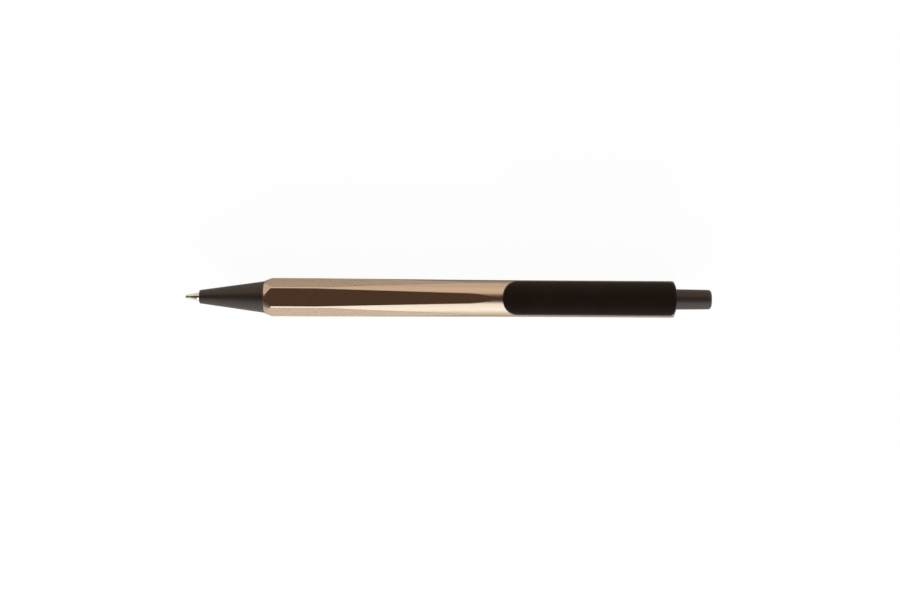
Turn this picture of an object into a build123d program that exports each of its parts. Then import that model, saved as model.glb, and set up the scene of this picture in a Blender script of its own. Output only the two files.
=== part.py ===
from build123d import *
import os
from math import cos, pi, radians, sin, sqrt, tan

# Click ballpoint pen in its writing position, in millimetres.
# The pen lies along X with its tip at -X, its push button at +X and its clip up.
# The origin is on the ground under the middle of the pen.

# Lengths along the pen, from the writing ball to the end of the push button
tip_stand_out = 3.7
nose_length = 17.2
barrel_length = 109.1
button_stand_out = 10.0

# Travel of the push button from the writing position
retract_travel = 5.0
over_press = 1.3

# Clearances: pressed or glued, sliding or turning, open gaps, and how far a cut runs past its stock
seat_clearance = 0.02
running_clearance = 0.06
open_gap = 0.2
turning_gap = 0.1
cut_overrun = 1.0

# Barrel: a turned tube with six milled flats that rise towards the rear until they leave the metal
grip_radius = 5.08
rear_radius = 4.87
flat_count = 6
clip_flat_distance = 4.49
side_flat_distance = 4.535
barrel_front_radius = 4.18
front_chamfer_length = 2.2
level_flat_length = 14.1
clip_flat_rise_length = 84.0
side_flat_rise_length = 57.0
taper_length = 47.0
barrel_bore_radius = 3.6
rear_rim_fillet = 0.6

# Bush in the front of the barrel that the nose cone screws into
bush_length = 8.6
bush_wall = 0.6
bush_setback = 0.4

# Nose cone
nose_front_radius = 1.78
nose_front_fillet = 0.4
rim_fillet_share = 0.9
tip_hole_radius = 1.28
tip_hole_length = 1.9
guide_bore_length = 4.1
spigot_length = 8.0

# Refill
ball_radius = 0.5
ball_stand_out = 0.3
tip_rim = 0.08
tip_radius = 1.13
tip_cone_length = 3.2
tip_length = 7.4
shank_length = 5.6
ink_channel_radius = 0.35
tube_radius = 1.5
tube_wall = 0.5
ear_setback = 18.3
ear_length = 1.2
ear_width = 1.3
ear_stand_out = 0.5
ink_fill_share = 0.81

# Return spring
wire_radius = 0.2
spring_turns = 11
spring_clearance = 0.1

# Click mechanism
pocket_depth = 2.0
pocket_wall = 0.7
rotor_body_length = 10.0
core_bore_radius = 0.9
core_bore_depth = 6.0
tooth_height = 0.8
tooth_width_share = 0.8
fin_count = 4
fin_width = 1.0
fin_length = 2.8
fin_setback = 1.8
key_length = 2.3
cam_drop = 0.8
rib_height = 0.35
sleeve_lead = 1.0
post_radius = 1.6
post_length = 11.5

# Push button
button_base_radius = 2.72
button_end_radius = 2.61
button_end_fillet = 0.95
button_crown = 0.3

# End cap
cap_plug_length = 4.58
cap_dome_radius = 4.1
cap_dome_height = 0.5
cap_key_height = 0.5

# Clip
clip_length = 45.9
clip_width = 9.05
clip_thickness = 1.25
clip_gap = 0.7
clip_crown_radius = 21.0
clip_overhang = 0.2
clip_free_corner = 3.85
clip_rear_bulge = 0.9
clip_rear_corner = 1.6
clip_edge_fillet = 0.4
foot_width = 3.8
foot_radius = 1.0
foot_setback = 3.0
nub_setback = 3.4
nub_half_length = 1.1
nub_width = 3.2
nub_gap = 0.15

# Stations along the pen
pen_length = tip_stand_out + nose_length + barrel_length + button_stand_out
tip_x = -pen_length / 2
nose_front_x = tip_x + tip_stand_out
barrel_front_x = nose_front_x + nose_length
barrel_rear_x = barrel_front_x + barrel_length
button_end_x = barrel_rear_x + button_stand_out
chamfer_end_x = barrel_front_x + front_chamfer_length
level_flat_end_x = barrel_front_x + level_flat_length
taper_end_x = level_flat_end_x + taper_length

guide_bore_x = nose_front_x + tip_hole_length
spring_seat_x = guide_bore_x + guide_bore_length
spigot_end_x = barrel_front_x + spigot_length
bush_front_x = barrel_front_x + bush_setback

ball_x = tip_x + ball_radius
tip_rim_x = tip_x + ball_stand_out
tip_cone_end_x = tip_x + tip_cone_length
tube_front_x = tip_x + tip_length
shank_end_x = tube_front_x + shank_length
ear_x = tube_front_x + ear_setback

plug_front_x = barrel_rear_x - cap_plug_length
plunger_shoulder_x = plug_front_x - open_gap - retract_travel
post_end_x = plunger_shoulder_x + post_length
key_front_x = plunger_shoulder_x - key_length
plunger_tooth_x = key_front_x - tooth_height
rotor_tooth_x = plunger_tooth_x - turning_gap
rotor_floor_x = rotor_tooth_x - rotor_body_length
tube_end_x = rotor_floor_x - seat_clearance
rotor_front_x = tube_end_x - pocket_depth
fin_rear_x = rotor_tooth_x - fin_setback
fin_front_x = fin_rear_x - fin_length
rib_front_x = fin_rear_x + turning_gap
sleeve_front_x = fin_front_x - over_press - sleeve_lead

clip_rear_x = barrel_rear_x + clip_overhang
clip_front_x = clip_rear_x - clip_length
foot_x = barrel_rear_x - foot_setback
nub_x = clip_front_x + nub_setback

# Radii and heights that follow from the sizes above
axis_height = rear_radius
stock_radius = max(grip_radius, rear_radius)
bush_bore_radius = barrel_bore_radius - bush_wall
spigot_radius = bush_bore_radius - running_clearance
guide_bore_radius = tube_radius + running_clearance * 2
tube_bore_radius = tube_radius - tube_wall
socket_radius = ball_radius + seat_clearance
tip_front_radius = sqrt(socket_radius**2 - (ball_x - tip_rim_x) ** 2) + tip_rim
spring_mean_radius = tube_radius + spring_clearance + wire_radius
spring_chamber_radius = spring_mean_radius + wire_radius + spring_clearance
rib_radius = button_base_radius + turning_gap
slot_radius = rib_radius + rib_height
sleeve_radius = barrel_bore_radius - seat_clearance
fin_radius = sqrt((slot_radius - running_clearance) ** 2 - (fin_width / 2) ** 2)
pocket_radius = tube_radius + running_clearance
slot_width = fin_width + 2 * running_clearance
button_bore_radius = button_base_radius + running_clearance
rib_reach = slot_radius * sin(pi / fin_count)
stop_wall = slot_width / 2
cam_slope = cam_drop / (rib_reach + stop_wall)
clip_inner_height = rear_radius + clip_gap
clip_outer_height = clip_inner_height + clip_thickness
foot_height = barrel_bore_radius + running_clearance + foot_radius

pen_axis = Axis((0, 0, axis_height), (1, 0, 0))
os.makedirs("parts", exist_ok=True)


def side_plane(angle=0):
    """Plane through the pen's axis: local x runs along the pen, local y is the radius at this angle."""
    turn = radians(angle)
    return Plane(origin=(0, 0, axis_height), x_dir=(1, 0, 0), z_dir=(0, -cos(turn), -sin(turn)))


def face_plane(angle):
    """Plane through the pen's axis that looks out at this angle: local x runs along the pen."""
    turn = radians(angle)
    return Plane(origin=(0, 0, axis_height), x_dir=(1, 0, 0), z_dir=(0, -sin(turn), cos(turn)))


def outline(points, plane):
    """Closed straight-sided face on a plane."""
    with BuildSketch(plane) as drawn:
        with BuildLine():
            Polyline(*points, close=True)
        make_face()
    return drawn.sketch


def turn_outline(points):
    """Turn a straight-sided half section about the pen's axis."""
    revolve(outline(points, side_plane()), axis=pen_axis)


def bore(start_x, end_x, radius):
    """Cut a round bore along the pen's axis."""
    rectangle = [(start_x, 0), (end_x, 0), (end_x, radius), (start_x, radius)]
    revolve(outline(rectangle, side_plane()), axis=pen_axis, mode=Mode.SUBTRACT)


def even_angles(count):
    """Angles of this many even steps round the pen."""
    return [360 * step / count for step in range(count)]


def crown_cut(tooth_x, towards_x):
    """Cut V grooves into an end face, so that a crown of teeth stays."""
    steps = 2 * fin_count
    half_width = tooth_width_share * button_base_radius * tan(pi / steps)
    past_x = tooth_x - (towards_x - tooth_x)
    groove = [
        (towards_x, 0),
        (tooth_x, half_width),
        (past_x, half_width),
        (past_x, -half_width),
        (tooth_x, -half_width),
    ]
    for angle in even_angles(steps):
        extrude(outline(groove, face_plane(angle)), amount=slot_radius, mode=Mode.SUBTRACT)


def mill_flat(angle, distance, rise_length):
    """Mill a flat that is level at the front and then rises to the stock's radius over this length."""
    rise_end_x = level_flat_end_x + rise_length
    milled_away = [
        (barrel_front_x - cut_overrun, distance),
        (level_flat_end_x, distance),
        (rise_end_x, stock_radius),
        (rise_end_x, stock_radius + cut_overrun),
        (barrel_front_x - cut_overrun, stock_radius + cut_overrun),
    ]
    extrude(outline(milled_away, side_plane(angle)), amount=stock_radius, both=True, mode=Mode.SUBTRACT)


# Barrel, with its longer flats in line with the clip
with BuildPart() as barrel:
    turn_outline(
        [
            (barrel_front_x, barrel_bore_radius),
            (barrel_front_x, barrel_front_radius),
            (chamfer_end_x, grip_radius),
            (level_flat_end_x, grip_radius),
            (taper_end_x, rear_radius),
            (barrel_rear_x, rear_radius),
            (barrel_rear_x, barrel_bore_radius),
        ]
    )
    rear_rim = barrel.faces().sort_by(Axis.X)[-1].edges().sort_by(SortBy.RADIUS)[-1]
    fillet(rear_rim, rear_rim_fillet)
    for angle in even_angles(flat_count):
        if angle % 180 == 0:
            mill_flat(angle, clip_flat_distance, clip_flat_rise_length)
        else:
            mill_flat(angle, side_flat_distance, side_flat_rise_length)
    notch_front_x = foot_x - foot_radius - open_gap
    notch_half_width = foot_width / 2 + turning_gap
    notch = [
        (notch_front_x, notch_half_width),
        (barrel_rear_x + cut_overrun, notch_half_width),
        (barrel_rear_x + cut_overrun, -notch_half_width),
        (notch_front_x, -notch_half_width),
    ]
    extrude(outline(notch, face_plane(0)), amount=rear_radius + cut_overrun, mode=Mode.SUBTRACT)
barrel.part.label = "barrel"
export_step(barrel.part, "parts/barrel.step")

# Bush pressed into the front of the barrel
with BuildPart() as nose_thread_bush:
    bush_rear_x = bush_front_x + bush_length
    turn_outline(
        [
            (bush_front_x, bush_bore_radius),
            (bush_front_x, barrel_bore_radius - seat_clearance),
            (bush_rear_x, barrel_bore_radius - seat_clearance),
            (bush_rear_x, bush_bore_radius),
        ]
    )
nose_thread_bush.part.label = "nose_thread_bush"
export_step(nose_thread_bush.part, "parts/nose_thread_bush.step")

# Nose cone with its spigot
with BuildPart() as nose_cone:
    turn_outline(
        [
            (nose_front_x, tip_hole_radius),
            (nose_front_x, nose_front_radius),
            (barrel_front_x, barrel_front_radius),
            (barrel_front_x, spigot_radius),
            (spigot_end_x, spigot_radius),
            (spigot_end_x, spring_chamber_radius),
            (spring_seat_x, spring_chamber_radius),
            (spring_seat_x, guide_bore_radius),
            (guide_bore_x, guide_bore_radius),
            (guide_bore_x, tip_hole_radius),
        ]
    )
    front_rim = nose_cone.faces().sort_by(Axis.X)[0].edges().sort_by(SortBy.RADIUS)[-1]
    front_wall = nose_front_radius - tip_hole_radius
    fillet(front_rim, min(nose_front_fillet, rim_fillet_share * front_wall))
nose_cone.part.label = "nose_cone"
export_step(nose_cone.part, "parts/nose_cone.step")

# Writing ball
with BuildPart() as writing_ball:
    with Locations((ball_x, 0, axis_height)):
        Sphere(ball_radius)
writing_ball.part.label = "writing_ball"
export_step(writing_ball.part, "parts/writing_ball.step")

# Refill tip with the ball's socket, its ink channel and a shank for the tube
with BuildPart() as refill_tip:
    shank_radius = tube_bore_radius - seat_clearance
    socket_mouth_radius = tip_front_radius - tip_rim
    socket_back_x = ball_x + sqrt(socket_radius**2 - ink_channel_radius**2)
    with BuildSketch(side_plane()):
        with BuildLine():
            Polyline(
                (tip_rim_x, socket_mouth_radius),
                (tip_rim_x, tip_front_radius),
                (tip_cone_end_x, tip_radius),
                (tube_front_x, tip_radius),
                (tube_front_x, shank_radius),
                (shank_end_x, shank_radius),
                (shank_end_x, ink_channel_radius),
                (socket_back_x, ink_channel_radius),
            )
            ThreePointArc(
                (socket_back_x, ink_channel_radius),
                (ball_x, socket_radius),
                (tip_rim_x, socket_mouth_radius),
            )
        make_face()
    revolve(axis=pen_axis)
refill_tip.part.label = "refill_tip"
export_step(refill_tip.part, "parts/refill_tip.step")

# Refill tube with two ears that the spring presses on
with BuildPart() as refill_tube:
    turn_outline(
        [
            (tube_front_x + seat_clearance, tube_bore_radius),
            (tube_front_x + seat_clearance, tube_radius),
            (tube_end_x, tube_radius),
            (tube_end_x, tube_bore_radius),
        ]
    )
    ear = [
        (ear_x, -ear_width / 2),
        (ear_x + ear_length, -ear_width / 2),
        (ear_x + ear_length, ear_width / 2),
        (ear_x, ear_width / 2),
    ]
    ear_root_height = tube_radius - tube_wall / 2
    ear_height = sqrt((tube_radius + ear_stand_out) ** 2 - (ear_width / 2) ** 2)
    for angle in even_angles(2):
        ear_face = outline(ear, face_plane(angle).offset(ear_root_height))
        extrude(ear_face, amount=ear_height - ear_root_height)
refill_tube.part.label = "refill_tube"
export_step(refill_tube.part, "parts/refill_tube.step")

# Ink in the tube
with BuildPart() as ink_column:
    ink_front_x = shank_end_x + seat_clearance
    ink_rear_x = ink_front_x + ink_fill_share * (tube_end_x - ink_front_x)
    ink_radius = tube_bore_radius - seat_clearance
    turn_outline(
        [
            (ink_front_x, 0),
            (ink_front_x, ink_radius),
            (ink_rear_x, ink_radius),
            (ink_rear_x, 0),
        ]
    )
ink_column.part.label = "ink_column"
export_step(ink_column.part, "parts/ink_column.step")


# Return spring, as quarter turns of a helix in tangent arcs
spring_front_x = spring_seat_x + wire_radius + running_clearance
spring_rear_x = ear_x - wire_radius - running_clearance
spring_pitch = (spring_rear_x - spring_front_x) / spring_turns
quarters_per_turn = 4


def helix_point(turns):
    """Point of the spring's centre line after this many turns."""
    angle = 2 * pi * turns
    across = spring_mean_radius * cos(angle)
    height = axis_height + spring_mean_radius * sin(angle)
    return Vector(spring_front_x + spring_pitch * turns, across, height)


def helix_heading(turns):
    """Direction of the spring's centre line after this many turns."""
    angle = 2 * pi * turns
    rise = spring_pitch / (2 * pi)
    return Vector(rise, -spring_mean_radius * sin(angle), spring_mean_radius * cos(angle)).normalized()


def quarter_turn(turns):
    """Draw the next quarter turn of the spring as two arcs that share a tangent."""
    next_turns = turns + 1 / quarters_per_turn
    start = helix_point(turns)
    end = helix_point(next_turns)
    leaving = helix_heading(turns)
    arriving = helix_heading(next_turns)
    chord = end - start
    along = chord.dot(leaving + arriving)
    spread = 2 * (1 - leaving.dot(arriving))
    reach = (sqrt(along**2 + spread * chord.dot(chord)) - along) / spread
    first_corner = start + leaving * reach
    second_corner = end - arriving * reach
    middle = (first_corner + second_corner) * 0.5
    TangentArc(start, middle, tangent=leaving)
    TangentArc(middle, end, tangent=second_corner - first_corner)


def least_spring_gap():
    """Least gap between neighbouring turns of the spring's wire, measured on points."""
    steps_per_turn = 24
    points = [helix_point(step / steps_per_turn) for step in range(spring_turns * steps_per_turn + 1)]
    half_turn = steps_per_turn // 2
    reach = 2 * steps_per_turn
    spans = [
        (other - point).length
        for index, point in enumerate(points)
        for other in points[index + half_turn : index + reach]
    ]
    return min(spans) - 2 * wire_radius


with BuildPart() as return_spring:
    with BuildLine() as spring_line:
        for quarter in range(spring_turns * quarters_per_turn):
            quarter_turn(quarter / quarters_per_turn)
    with BuildSketch(Plane(origin=helix_point(0), z_dir=helix_heading(0))):
        Circle(wire_radius)
    sweep(path=spring_line.wires()[0])
return_spring.part.label = "return_spring"
export_step(return_spring.part, "parts/return_spring.step")
print(f"least gap between turns of the spring: {least_spring_gap():.3f} mm")

# Cam rotor: a pocket for the refill, four fins and a crown of teeth
with BuildPart() as cam_rotor:
    turn_outline(
        [
            (rotor_front_x, 0),
            (rotor_front_x, pocket_radius + pocket_wall),
            (rotor_floor_x, pocket_radius + pocket_wall),
            (rotor_floor_x, button_base_radius),
            (rotor_tooth_x, button_base_radius),
            (rotor_tooth_x, 0),
        ]
    )
    crown_cut(rotor_tooth_x, rotor_tooth_x - tooth_height)
    fin = [
        (fin_front_x, -fin_width / 2),
        (fin_rear_x - cam_slope * fin_width, -fin_width / 2),
        (fin_rear_x, fin_width / 2),
        (fin_front_x, fin_width / 2),
    ]
    for angle in even_angles(fin_count):
        extrude(outline(fin, face_plane(angle)), amount=fin_radius)
    bore(rotor_front_x - cut_overrun, rotor_floor_x, pocket_radius)
    bore(rotor_tooth_x - core_bore_depth, rotor_tooth_x + cut_overrun, core_bore_radius)
cam_rotor.part.label = "cam_rotor"
export_step(cam_rotor.part, "parts/cam_rotor.step")

# Cam ribs: long slots for the fins, and ramps with a stop between them
sleeve_rear_x = plug_front_x - seat_clearance
with BuildPart() as cam_ribs:
    rib_root_radius = (slot_radius + sleeve_radius) / 2
    turn_outline(
        [
            (rib_front_x, rib_radius),
            (rib_front_x, rib_root_radius),
            (sleeve_rear_x, rib_root_radius),
            (sleeve_rear_x, rib_radius),
        ]
    )
    slot = [
        (rib_front_x - cut_overrun, -slot_width / 2),
        (sleeve_rear_x + cut_overrun, -slot_width / 2),
        (sleeve_rear_x + cut_overrun, slot_width / 2),
        (rib_front_x - cut_overrun, slot_width / 2),
    ]
    notch_ramp = [
        (rib_front_x - cut_overrun, -rib_reach),
        (rib_front_x, -rib_reach),
        (rib_front_x + cam_drop, stop_wall),
        (rib_front_x - cut_overrun, stop_wall),
    ]
    slot_ramp = [
        (rib_front_x - cut_overrun, stop_wall),
        (rib_front_x, stop_wall),
        (rib_front_x + cam_slope * (rib_reach - stop_wall), rib_reach),
        (rib_front_x - cut_overrun, rib_reach),
    ]
    for angle in even_angles(fin_count):
        between = angle + 180 / fin_count
        extrude(outline(slot, face_plane(angle)), amount=sleeve_radius, mode=Mode.SUBTRACT)
        extrude(outline(notch_ramp, face_plane(between)), amount=sleeve_radius, mode=Mode.SUBTRACT)
        extrude(outline(slot_ramp, face_plane(between)), amount=sleeve_radius, mode=Mode.SUBTRACT)

# Cam sleeve with its ribs
with BuildPart() as cam_sleeve:
    turn_outline(
        [
            (sleeve_front_x, slot_radius),
            (sleeve_front_x, sleeve_radius),
            (sleeve_rear_x, sleeve_radius),
            (sleeve_rear_x, slot_radius),
        ]
    )
    add(cam_ribs.part)
cam_sleeve.part.label = "cam_sleeve"
export_step(cam_sleeve.part, "parts/cam_sleeve.step")

# Plunger: a crown of teeth, four keys for the slots and a post for the button
with BuildPart() as plunger:
    turn_outline(
        [
            (plunger_tooth_x, 0),
            (plunger_tooth_x, button_base_radius),
            (plunger_shoulder_x, button_base_radius),
            (plunger_shoulder_x, post_radius),
            (post_end_x, post_radius),
            (post_end_x, 0),
        ]
    )
    crown_cut(plunger_tooth_x, key_front_x)
    key = [
        (key_front_x, -fin_width / 2),
        (plunger_shoulder_x, -fin_width / 2),
        (plunger_shoulder_x, fin_width / 2),
        (key_front_x, fin_width / 2),
    ]
    for angle in even_angles(fin_count):
        extrude(outline(key, face_plane(angle)), amount=fin_radius)
    bore(plunger_tooth_x - cut_overrun, plunger_shoulder_x, core_bore_radius)
plunger.part.label = "plunger"
export_step(plunger.part, "parts/plunger.step")

# Push button
with BuildPart() as push_button:
    button_front_x = plunger_shoulder_x + seat_clearance
    button_taper_x = barrel_rear_x + cap_dome_height
    button_crown_x = button_end_x - button_crown
    with BuildSketch(side_plane()):
        with BuildLine():
            Polyline(
                (button_end_x, 0),
                (button_front_x, 0),
                (button_front_x, button_base_radius),
                (button_taper_x, button_base_radius),
                (button_crown_x, button_end_radius),
            )
            TangentArc((button_end_x, 0), (button_crown_x, button_end_radius), tangent=(0, 1))
        make_face()
    revolve(axis=pen_axis)
    end_rim = push_button.edges().filter_by(lambda edge: edge.is_closed).sort_by(Axis.X)[-1]
    fillet(end_rim, button_end_fillet)
    bore(button_front_x - cut_overrun, post_end_x + open_gap, post_radius + seat_clearance)
push_button.part.label = "push_button"
export_step(push_button.part, "parts/push_button.step")

# End cap: a plug in the barrel, a low dome round the button and a key behind the clip's foot
with BuildPart() as end_cap:
    dome_end_x = barrel_rear_x + cap_dome_height
    dome_drop = cap_dome_radius**2 - button_bore_radius**2 - cap_dome_height**2
    dome_centre_x = barrel_rear_x - dome_drop / (2 * cap_dome_height)
    dome_sphere_radius = sqrt(cap_dome_radius**2 + (barrel_rear_x - dome_centre_x) ** 2)
    dome_middle_radius = (cap_dome_radius + button_bore_radius) / 2
    dome_middle_x = dome_centre_x + sqrt(dome_sphere_radius**2 - dome_middle_radius**2)
    with BuildSketch(side_plane()):
        with BuildLine():
            Polyline(
                (dome_end_x, button_bore_radius),
                (plug_front_x, button_bore_radius),
                (plug_front_x, sleeve_radius),
                (barrel_rear_x, sleeve_radius),
                (barrel_rear_x, cap_dome_radius),
            )
            ThreePointArc(
                (barrel_rear_x, cap_dome_radius),
                (dome_middle_x, dome_middle_radius),
                (dome_end_x, button_bore_radius),
            )
        make_face()
    revolve(axis=pen_axis)
    cap_key_front_x = foot_x + foot_radius + open_gap
    cap_key = [
        (cap_key_front_x, -foot_width / 2),
        (barrel_rear_x, -foot_width / 2),
        (barrel_rear_x, foot_width / 2),
        (cap_key_front_x, foot_width / 2),
    ]
    key_root_height = (sleeve_radius + button_bore_radius) / 2
    key_reach = barrel_bore_radius + cap_key_height - key_root_height
    extrude(outline(cap_key, face_plane(0).offset(key_root_height)), amount=key_reach)
end_cap.part.label = "end_cap"
export_step(end_cap.part, "parts/end_cap.step")

# Clip: a crowned strip with a rounded foot in the barrel's notch and a nub near its free end
with BuildPart() as clip:
    clip_inner_radius = clip_crown_radius - clip_thickness
    blank_half_width = clip_width / 2 + clip_thickness
    outer_side = clip_outer_height - clip_crown_radius + sqrt(clip_crown_radius**2 - blank_half_width**2)
    inner_side = clip_outer_height - clip_crown_radius + sqrt(clip_inner_radius**2 - blank_half_width**2)
    section_plane = Plane(origin=(clip_front_x, 0, axis_height), x_dir=(0, 1, 0), z_dir=(1, 0, 0))
    with BuildSketch(section_plane):
        with BuildLine():
            ThreePointArc(
                (-blank_half_width, outer_side),
                (0, clip_outer_height),
                (blank_half_width, outer_side),
            )
            Line((blank_half_width, outer_side), (blank_half_width, inner_side))
            ThreePointArc(
                (blank_half_width, inner_side),
                (0, clip_inner_height),
                (-blank_half_width, inner_side),
            )
            Line((-blank_half_width, inner_side), (-blank_half_width, outer_side))
        make_face()
    extrude(amount=clip_length)
    side = clip_width / 2
    with BuildSketch() as plan:
        with BuildLine():
            Polyline(
                (clip_rear_x - clip_rear_bulge, -side),
                (clip_front_x, -side),
                (clip_front_x, side),
                (clip_rear_x - clip_rear_bulge, side),
            )
            ThreePointArc(
                (clip_rear_x - clip_rear_bulge, side),
                (clip_rear_x, 0),
                (clip_rear_x - clip_rear_bulge, -side),
            )
        make_face()
        fillet(plan.vertices().group_by(Axis.X)[0], clip_free_corner)
        fillet(plan.vertices().group_by(Axis.X)[-1], clip_rear_corner)
    extrude(amount=axis_height + clip_outer_height + cut_overrun, mode=Mode.INTERSECT)
    fillet(clip.faces().sort_by(Axis.Z)[-1].edges(), clip_edge_fillet)
    root_height = clip_inner_height + clip_thickness / 2
    with BuildSketch(side_plane()):
        with BuildLine():
            Polyline(
                (foot_x - foot_radius, foot_height),
                (foot_x - foot_radius, root_height),
                (foot_x + foot_radius, root_height),
                (foot_x + foot_radius, foot_height),
            )
            ThreePointArc(
                (foot_x + foot_radius, foot_height),
                (foot_x, foot_height - foot_radius),
                (foot_x - foot_radius, foot_height),
            )
        make_face()
    extrude(amount=foot_width / 2, both=True)
    with BuildSketch(side_plane()):
        with BuildLine():
            Polyline(
                (nub_x - nub_half_length, clip_inner_height),
                (nub_x - nub_half_length, root_height),
                (nub_x + nub_half_length, root_height),
                (nub_x + nub_half_length, clip_inner_height),
            )
            ThreePointArc(
                (nub_x + nub_half_length, clip_inner_height),
                (nub_x, rear_radius + nub_gap),
                (nub_x - nub_half_length, clip_inner_height),
            )
        make_face()
    extrude(amount=nub_width / 2, both=True)
clip.part.label = "clip"
export_step(clip.part, "parts/clip.step")
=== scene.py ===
"""Looks of a click ballpoint pen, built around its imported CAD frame.

The pen lies along X with its tip at -X and its clip up. Sizes are in millimetres, as in the CAD source,
and every mesh is placed in metres.
"""

import logging
import math
from dataclasses import dataclass
from enum import Enum
from typing import Any, Union

import bmesh
import bpy
import numpy as np
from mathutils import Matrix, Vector


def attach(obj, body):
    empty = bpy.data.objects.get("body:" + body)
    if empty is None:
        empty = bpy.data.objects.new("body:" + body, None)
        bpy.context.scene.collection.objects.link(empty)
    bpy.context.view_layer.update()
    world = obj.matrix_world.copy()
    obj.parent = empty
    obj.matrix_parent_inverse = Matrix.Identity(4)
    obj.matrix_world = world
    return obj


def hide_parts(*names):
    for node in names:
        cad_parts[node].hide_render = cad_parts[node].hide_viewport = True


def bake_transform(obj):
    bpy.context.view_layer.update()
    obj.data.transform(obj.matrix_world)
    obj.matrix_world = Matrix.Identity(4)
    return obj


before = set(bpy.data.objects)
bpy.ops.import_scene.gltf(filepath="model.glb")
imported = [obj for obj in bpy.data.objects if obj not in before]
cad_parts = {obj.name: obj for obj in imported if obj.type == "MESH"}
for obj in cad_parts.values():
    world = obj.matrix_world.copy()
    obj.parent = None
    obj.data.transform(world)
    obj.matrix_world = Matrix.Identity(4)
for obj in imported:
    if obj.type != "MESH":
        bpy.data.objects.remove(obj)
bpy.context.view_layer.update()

log = logging.getLogger("pen")

MM = 0.001
AXIS_HEIGHT = 4.87
FULL_TURN = 2 * math.pi
SHARP_ANGLE = math.radians(38)

Colour = tuple[float, float, float]
Number = Union[float, "Value"]
Options = dict[str, Any] | None
Span = tuple[float, float]
Point = tuple[float, float]
Profile = list[Point]
Faces = list[tuple[int, ...]]


class Body(Enum):
    """Bodies of the CAD frame that carry the scene's own pieces."""

    BARREL = "barrel"
    NOSE = "nose"
    REFILL = "refill"


class Value:
    """An output socket whose arithmetic adds Math nodes to its graph."""

    def __init__(self, graph: "Graph", socket: bpy.types.NodeSocket) -> None:
        """Wrap a socket of a graph.

        Args:
            graph: Graph that the socket is in.
            socket: Output socket to wrap.
        """
        self.graph = graph
        self.socket = socket

    def __add__(self, other: Number) -> "Value":
        """This plus the other."""
        return self.graph.maths("ADD", self, other)

    def __radd__(self, other: Number) -> "Value":
        """The other plus this."""
        return self.graph.maths("ADD", other, self)

    def __sub__(self, other: Number) -> "Value":
        """This less the other."""
        return self.graph.maths("SUBTRACT", self, other)

    def __rsub__(self, other: Number) -> "Value":
        """The other less this."""
        return self.graph.maths("SUBTRACT", other, self)

    def __mul__(self, other: Number) -> "Value":
        """This times the other."""
        return self.graph.maths("MULTIPLY", self, other)

    def __rmul__(self, other: Number) -> "Value":
        """The other times this."""
        return self.graph.maths("MULTIPLY", other, self)

    def __truediv__(self, other: Number) -> "Value":
        """This over the other."""
        return self.graph.maths("DIVIDE", self, other)

    def __rtruediv__(self, other: Number) -> "Value":
        """The other over this."""
        return self.graph.maths("DIVIDE", other, self)


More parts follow.
